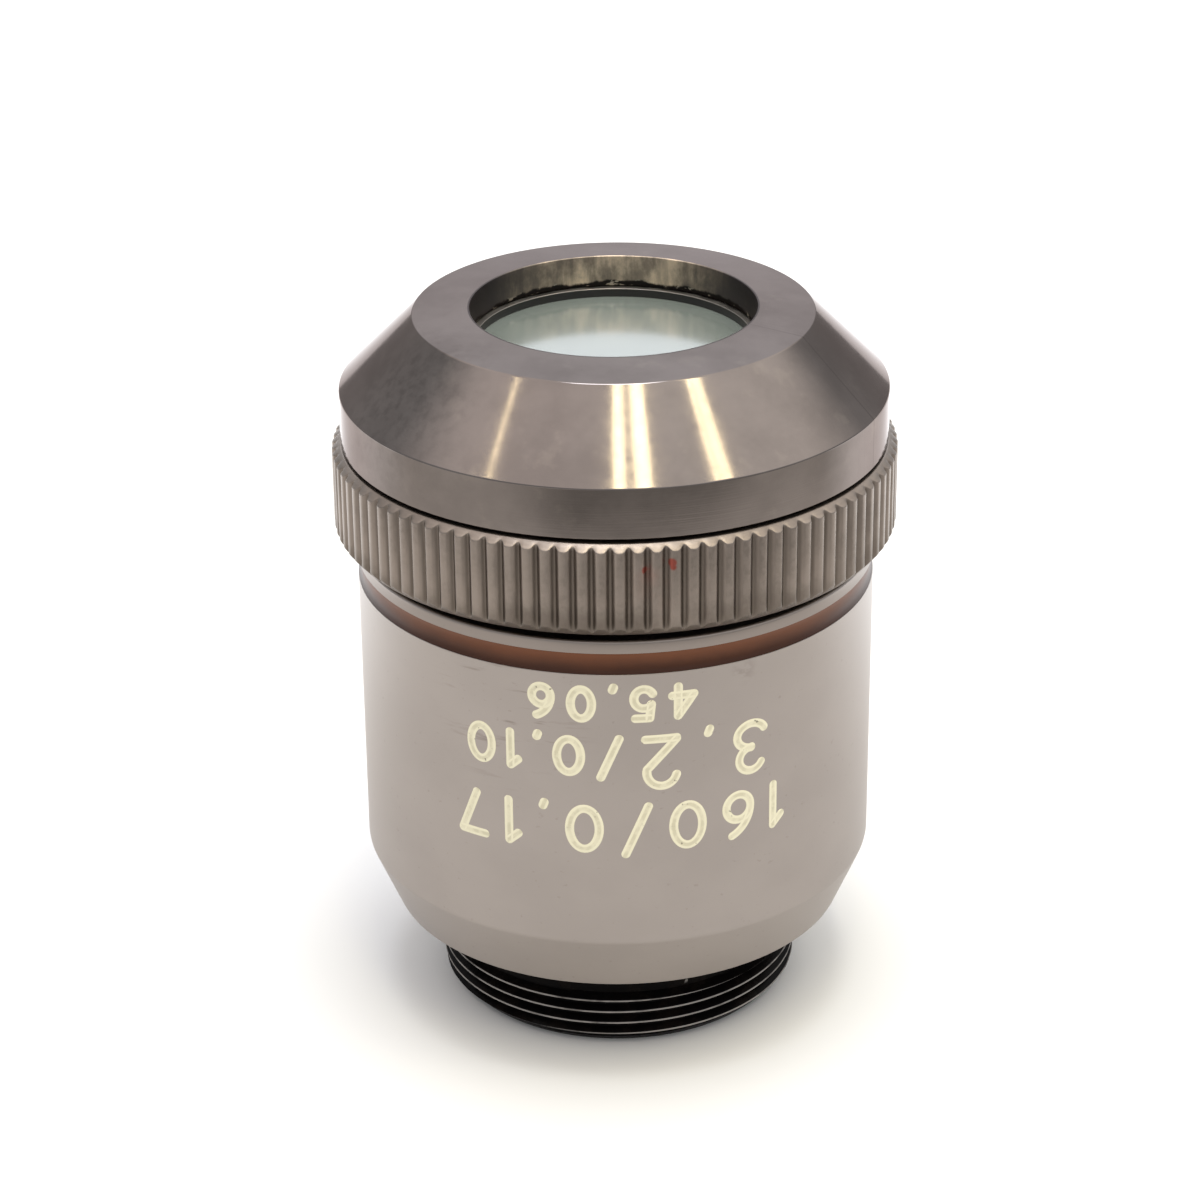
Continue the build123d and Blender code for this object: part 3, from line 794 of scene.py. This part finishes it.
def knurlTree():
    tree = bpy.data.node_groups.new("knurlRoundAxis", "GeometryNodeTree")
    sockets = {}
    for label, kind in (
        ("Ridge", "NodeSocketGeometry"), ("Ridges", "NodeSocketInt"),
        ("Merge Within", "NodeSocketFloat"), ("Finish", "NodeSocketMaterial"),
    ):
        sockets[label] = tree.interface.new_socket(name=label, in_out="INPUT", socket_type=kind).identifier
    tree.interface.new_socket(name="Ring", in_out="OUTPUT", socket_type="NodeSocketGeometry")
    entry = addNode(tree, "NodeGroupInput").outputs
    allInCentre = {"Count": entry["Ridges"], "Offset": (0, 0, 0)}
    centre = addNode(tree, "GeometryNodeMeshLine", allInCentre, mode="OFFSET")
    index = addNode(tree, "GeometryNodeInputIndex").outputs[0]
    step = calc(tree, "DIVIDE", 2 * pi, entry["Ridges"])
    turned = addNode(tree, "ShaderNodeCombineXYZ", {"Z": times(tree, index, step)})
    placed = addNode(tree, "GeometryNodeInstanceOnPoints", {
        "Points": centre.outputs[0], "Instance": entry["Ridge"], "Rotation": turned.outputs[0],
    })
    real = addNode(tree, "GeometryNodeRealizeInstances", {0: placed.outputs[0]})
    merged = addNode(tree, "GeometryNodeMergeByDistance", {
        0: real.outputs[0], "Distance": entry["Merge Within"],
    })
    painted = addNode(tree, "GeometryNodeSetMaterial", {0: merged.outputs[0], "Material": entry["Finish"]})
    addNode(tree, "NodeGroupOutput", {0: painted.outputs[0]})
    return tree, sockets


def buildRing(shape):
    maker = linkPiece("ridgeMaker", ridgeMesh(shape), False)
    tree, sockets = knurlTree()
    knurl = maker.modifiers.new("knurl", "NODES")
    knurl.node_group = tree
    knurl[sockets["Ridges"]] = shape["ridges"]
    knurl[sockets["Merge Within"]] = shape["mergeWithin"]
    knurl[sockets["Finish"]] = ringMaterial
    bpy.context.view_layer.update()
    done = maker.evaluated_get(bpy.context.evaluated_depsgraph_get())
    mesh = bpy.data.meshes.new_from_object(done)
    mesh.name = "knurledRing"
    bpy.data.objects.remove(maker)
    finishMesh(mesh, ringMaterial, shape["sharpDeg"])
    ring = linkPiece("knurledRing", mesh)
    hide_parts("knurled_ring")
    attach(ring, "ring")
    return len(mesh.polygons)


print("knurled ring made", buildRing(ringShape), "faces")


# Numbers on the barrel, painted strokes with round ends, read with the thread upwards

numberShape = {
    "strokeWidth": 0.50, "proud": 0.014, "dish": 0.006, "dishHalfway": 0.6, "sunk": 0.05, "rim": 0.002,
    "shoulder": 0.84, "shoulderSlope": 6,
    "lift": 0.0008,  # strokes that cross lie at slightly different heights
    "sharpDeg": 60.0,
    "lines": [  # text, heights of the strokes' centre lines, arc where it starts and ends, in mm
        ("160/0.17", 17.35, 14.93, 9.45, -8.9),
        ("3.2", 21.45, 18.65, 8.3, 1.5),
        ("/0.10", 21.45, 19.5, 0.1, -8.2),
        ("45.06", 24.42, 22.72, 4.1, -4.55),
    ],
}


def bow(cx, cy, rx, ry, start, end, steps=22):  # an arc of a glyph, angles in degrees
    angles = [radians(start + (end - start) * k / steps) for k in range(steps + 1)]
    return [(cx + rx * cos(a), cy + ry * sin(a)) for a in angles]


def glyph(sign):  # width, and strokes in a box one cap height tall
    if sign == "0":
        return 0.66, [bow(0.33, 0.5, 0.33, 0.5, 0, 360, 40)]
    if sign == "1":
        return 0.26, [[(0.0, 0.8), (0.22, 1.0)], [(0.22, 1.0), (0.22, 0.0)]]
    if sign == "2":
        return 0.62, [bow(0.31, 0.7, 0.29, 0.3, 165, -12) + [(0.03, 0.02)], [(0.03, 0.0), (0.62, 0.0)]]
    if sign == "3":
        return 0.62, [bow(0.3, 0.75, 0.26, 0.25, 150, -90), bow(0.3, 0.255, 0.31, 0.255, 90, -155)]
    if sign == "4":
        return 0.68, [[(0.5, 0.0), (0.5, 1.0)], [(0.5, 1.0), (0.0, 0.3)], [(0.0, 0.3), (0.68, 0.3)]]
    if sign == "5":
        bowl = bow(0.28, 0.33, 0.31, 0.33, 138, -150)
        return 0.6, [[(0.54, 1.0), (0.1, 1.0)], [(0.1, 1.0), (0.05, 0.53)], bowl]
    if sign == "6":
        return 0.62, [bow(0.31, 0.31, 0.3, 0.31, 0, 360, 36), bow(0.75, 0.32, 0.74, 0.74, 113, 178, 14)]
    if sign == "7":
        return 0.6, [[(0.0, 1.0), (0.6, 1.0)], [(0.6, 1.0), (0.2, 0.0)]]
    if sign == "/":
        return 0.52, [[(0.0, -0.05), (0.5, 1.12)]]
    return 0.06, [[(0.03, 0.0), (0.0, -0.08)]]


def strokeRows(points, halfWidth, stepLength=0.2, capSteps=6):  # centre, direction and share of the width
    path = [Vector(points[0])]
    for point in points[1:]:  # a long line is cut up, so that it follows the barrel's curve
        start, end = path[-1], Vector(point)
        cuts = ceil((end - start).length / stepLength)
        path += [start.lerp(end, (k + 1) / cuts) for k in range(cuts)]
    ways = []
    for k in range(len(path)):
        ways.append((path[min(k + 1, len(path) - 1)] - path[max(k - 1, 0)]).normalized())
    cap = [radians(90.0 * k / capSteps) for k in range(capSteps, 0, -1)]
    rows = [(path[0] - ways[0] * halfWidth * sin(b), ways[0], cos(b)) for b in cap]
    rows += [(p, w, 1.0) for p, w in zip(path, ways)]
    rows += [(path[-1] + ways[-1] * halfWidth * sin(b), ways[-1], cos(b)) for b in reversed(cap)]
    return rows


def buildNumbers(shape):
    barrelR = barrelHigh.x / mm
    halfWidth = shape["strokeWidth"] / 2
    proud, rim, shoulder = shape["proud"], shape["rim"], shape["shoulder"]
    halfDish, fullDish = proud - shape["dish"] * shape["dishHalfway"], proud - shape["dish"]
    section = [
        (-1.0, -shape["sunk"]), (-1.0, rim), (-shoulder, proud), (-0.5, halfDish), (0.0, fullDish),
        (0.5, halfDish), (shoulder, proud), (1.0, rim), (1.0, -shape["sunk"]),
    ]
    verts, faces, across = [], [], []
    count = 0
    for text, base, top, start, end in shape["lines"]:
        size = base - top
        signs = [glyph(s) for s in text]
        free = abs(start - end) - sum(w for w, _ in signs) * size
        gap = free / (len(text) - 1)
        cursor = start
        for width, strokes in signs:
            for stroke in strokes:
                count += 1
                lift = shape["lift"] * (count % 3)
                rows = strokeRows([(cursor - x * size, base - y * size) for x, y in stroke], halfWidth)
                first = len(verts)
                for centre, way, share in rows:
                    side = Vector((-way.y, way.x))
                    for u, height in section:
                        spot = centre + side * (u * share * halfWidth)
                        edge = max(abs(u), 1 - share)
                        slope = proud * (1 - edge) * shape["shoulderSlope"] + rim
                        rise = height if height < 0 else min(height, slope)
                        r = barrelR + rise + lift
                        angle = spot.x / barrelR
                        verts.append((r * mm * sin(angle), -r * mm * cos(angle), spot.y * mm))
                        across.append(0.5 + 0.5 * u * share)
                columns = len(section)
                for j in range(len(rows) - 1):
                    for i in range(columns):
                        k = (i + 1) % columns
                        a, b = first + j * columns, first + (j + 1) * columns
                        faces.append((a + i, a + k, b + k, b + i))
                faces.append(tuple(first + i for i in range(columns)))
                last = first + (len(rows) - 1) * columns
                faces.append(tuple(last + i for i in reversed(range(columns))))
            cursor -= width * size + gap
    mesh = bpy.data.meshes.new("barrelNumbers")
    mesh.from_pydata(verts, [], faces)
    layer = mesh.uv_layers.new(name="stroke")
    for loop in mesh.loops:
        layer.data[loop.index].uv = (across[loop.vertex_index], 0.5)
    finishMesh(mesh, paintMaterial, shape["sharpDeg"])
    numbers = linkPiece("barrelNumbers", mesh, False)
    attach(numbers, "objective")
    return count


print("numbers made", buildNumbers(numberShape), "strokes")


# The other solids keep their own meshes and take a finish

innerFinish = {
    "lens_tube": tubeMaterial, "parfocal_shim": brassMaterial,
    "meniscus_crown": glassMaterial, "meniscus_flint": glassMaterial,
    "rear_flint": glassMaterial, "rear_crown": glassMaterial, "rear_lens": glassMaterial,
}
for nodeName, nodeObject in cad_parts.items():
    nodeObject.data.materials.clear()
    nodeObject.data.materials.append(innerFinish.get(nodeName, cellMaterial))
print("inner pieces finished")


# Floor, room and lamps

floorLook = {
    "seen": (0.725, 0.735, 0.735),
    "unseen": (0.62, 0.61, 0.60),  # what lights the object and is mirrored in it
    # all in m: painted reflection: far from the object the floor is darkened in mirrors, for a dark thing in
    # front, but less so to the left and close in front
    "far": 0.40, "farStep": (0.080, 0.096), "frontStep": (-0.085, -0.045, 1.0, 0.35),
    "middleStep": (-0.01, 0.03, 1.0, 0.0), "leftStep": (-0.07, -0.02, 0.2, 1.0),
    "mirrorGlowColour": (1.05, 1.12, 1.20), "mirrorGlowStep": (-0.01, 0.05), "awayStep": (0.03, 0.09),
    "size": 3.0, "below": 0.02 * mm,
}


def buildFloor(look):  # painted reflection: in mirrors the floor is darkened far in front, and glows brighter behind though it is no lamp
    half = look["size"] / 2
    mesh = bpy.data.meshes.new("floor")
    corners = [(-half, -half, 0), (half, -half, 0), (half, half, 0), (-half, half, 0)]
    mesh.from_pydata(corners, [], [(0, 1, 2, 3)])
    mesh.transform(Matrix.Translation((0, 0, -look["below"])))
    material, tree, shader, place = newMaterial("whiteFloor", Roughness=1.0, Specular_IOR_Level=0.0)
    x, y, _ = addNode(tree, "ShaderNodeSeparateXYZ", {0: place}).outputs
    away = addNode(tree, "ShaderNodeVectorMath", {0: place}, operation="LENGTH").outputs["Value"]
    # painted reflection: where the mirrored floor is darkened
    dark = times(tree, spread(tree, away, *look["farStep"]), spread(tree, y, *look["frontStep"]))
    dark = times(tree, dark, spread(tree, y, *look["middleStep"]))
    dark = times(tree, dark, spread(tree, x, *look["leftStep"]))
    mirrorShaded = blendColour(tree, dark, look["unseen"], tuple(c * look["far"] for c in look["unseen"]))
    path = addNode(tree, "ShaderNodeLightPath").outputs
    glossy = path["Is Glossy Ray"]
    unseen = blendColour(tree, glossy, look["unseen"], mirrorShaded)
    direct = most(tree, path["Is Camera Ray"], path["Is Transmission Ray"])
    tree.links.new(blendColour(tree, direct, unseen, look["seen"]), shader.inputs["Base Color"])
    # painted glow behind the object, seen only in mirrors
    mirrorGlow = times(tree, spread(tree, away, *look["awayStep"]), spread(tree, y, *look["mirrorGlowStep"]))
    shader.inputs["Emission Color"].default_value = (*look["mirrorGlowColour"], 1.0)
    tree.links.new(times(tree, mirrorGlow, glossy), shader.inputs["Emission Strength"])
    mesh.materials.append(material)
    floor = linkPiece("floor", mesh, False)


roomLook = {
    "seen": (1.0, 1.0, 1.0),
    "low": (0.64, 0.645, 0.66),
    # a bright ceiling, from this height of the direction up, which reaches lower on the right
    "overheadLeft": (1.62, 1.51, 1.47), "overheadRight": (1.70, 1.63, 1.57), "sideStep": (-0.4, 0.4),
    "overheadStep": (0.42, 0.72), "lean": 0.11,
    "back": (1.45, 1.50, 1.60), "backWay": (0.0, 0.93, 0.36), "litBackStep": (0.86, 0.96),
}


def buildRoom(look):
    world = bpy.data.worlds.new("room")
    bpy.context.scene.world = world
    world.use_nodes = True
    tree = world.node_tree
    way = addNode(tree, "ShaderNodeTexCoord").outputs["Generated"]
    x, _, z = addNode(tree, "ShaderNodeSeparateXYZ", {0: way}).outputs
    toRight = spread(tree, x, *look["sideStep"])
    ceiling = blendColour(tree, toRight, look["overheadLeft"], look["overheadRight"])
    edge = plus(tree, z, times(tree, x, look["lean"]))
    light = blendColour(tree, spread(tree, edge, *look["overheadStep"]), look["low"], ceiling)
    toBack = addNode(tree, "ShaderNodeVectorMath", {0: way, 1: look["backWay"]}, operation="DOT_PRODUCT")
    light = blendColour(tree, spread(tree, toBack.outputs["Value"], *look["litBackStep"]), light, look["back"])
    seen = addNode(tree, "ShaderNodeLightPath").outputs["Is Camera Ray"]
    light = blendColour(tree, seen, light, look["seen"])
    background = tree.nodes["Background"]
    tree.links.new(light, background.inputs["Color"])
    background.inputs["Strength"].default_value = 1.0


lampLook = {
    # each lamp is a strip under the ceiling: ends as (x, y) in m, width in m, strength as a radiance
    "height": 0.9,
    "colour": (1.0, 0.88, 0.55),
    "strips": [
        ("stripLeft", (0.015, -0.08), (0.025, -0.62), 0.052, 10.0),
        ("stripMiddle", (0.106, -0.08), (0.154, -0.62), 0.074, 9.5),
        ("stripThin", (0.29, -0.04), (0.50, -0.30), 0.018, 11.0),
        ("stripRight", (0.34, -0.03), (0.575, -0.30), 0.070, 7.0),
        ("stripFarLeft", (-0.594, -0.06), (-0.608, -0.36), 0.014, 10.0),
    ],
    # and a square one over the object
    "zenith": {"size": 0.40, "radiance": 6.5, "colour": (0.90, 0.96, 1.08), "height": 0.95},
}


def addLamp(name, near, far, width, radiance, colour, height):
    along = Vector((far[0] - near[0], far[1] - near[1], 0))
    lamp = bpy.data.lights.new(name, "AREA")
    lamp.shape = "RECTANGLE"
    lamp.size, lamp.size_y = width, along.length
    lamp.color = colour
    lamp.energy = radiance * pi * width * along.length  # a flat lamp sends out pi times its radiance
    holder = bpy.data.objects.new(name, lamp)
    bpy.context.scene.collection.objects.link(holder)
    holder.location = ((near[0] + far[0]) / 2, (near[1] + far[1]) / 2, height)
    holder.rotation_euler = (0, 0, atan2(-along.x, along.y))


def buildLamps(look):
    for name, near, far, width, radiance in look["strips"]:
        addLamp(name, near, far, width, radiance, look["colour"], look["height"])
    over = look["zenith"]
    half = over["size"] / 2
    addLamp("zenith", (0, -half), (0, half), over["size"], over["radiance"], over["colour"], over["height"])


cameraLook = {
    "place": (0.0, -178.424, 106.688), "pitchDeg": 25.151, "yaw": -0.0050, "roll": -0.0104,
    "focalPixels": 3520.5, "photoPixels": 1200, "sensor": 36.0, "nearest": 0.01, "farthest": 20.0,
}


def buildCamera(look):
    pitch, yaw, roll = radians(look["pitchDeg"]), look["yaw"], look["roll"]
    ahead = Vector((sin(yaw) * cos(pitch), cos(yaw) * cos(pitch), -sin(pitch)))
    right = Vector((cos(yaw), -sin(yaw), 0))
    up = right.cross(ahead)
    across = right * cos(roll) + up * sin(roll)
    upwards = up * cos(roll) - right * sin(roll)
    lens = bpy.data.cameras.new("camera")
    lens.sensor_width = look["sensor"]
    lens.lens = look["sensor"] * look["focalPixels"] / look["photoPixels"]
    lens.clip_start, lens.clip_end = look["nearest"], look["farthest"]
    camera = bpy.data.objects.new("camera", lens)
    bpy.context.scene.collection.objects.link(camera)
    turned = Matrix((across, upwards, -ahead)).transposed().to_4x4()
    turned.translation = Vector(look["place"]) * mm
    camera.matrix_world = turned
    bpy.context.scene.camera = camera


buildFloor(floorLook)
buildRoom(roomLook)
buildLamps(lampLook)
buildCamera(cameraLook)
bpy.context.scene.view_settings.view_transform = "Standard"
print("floor, room, lamps and camera made")
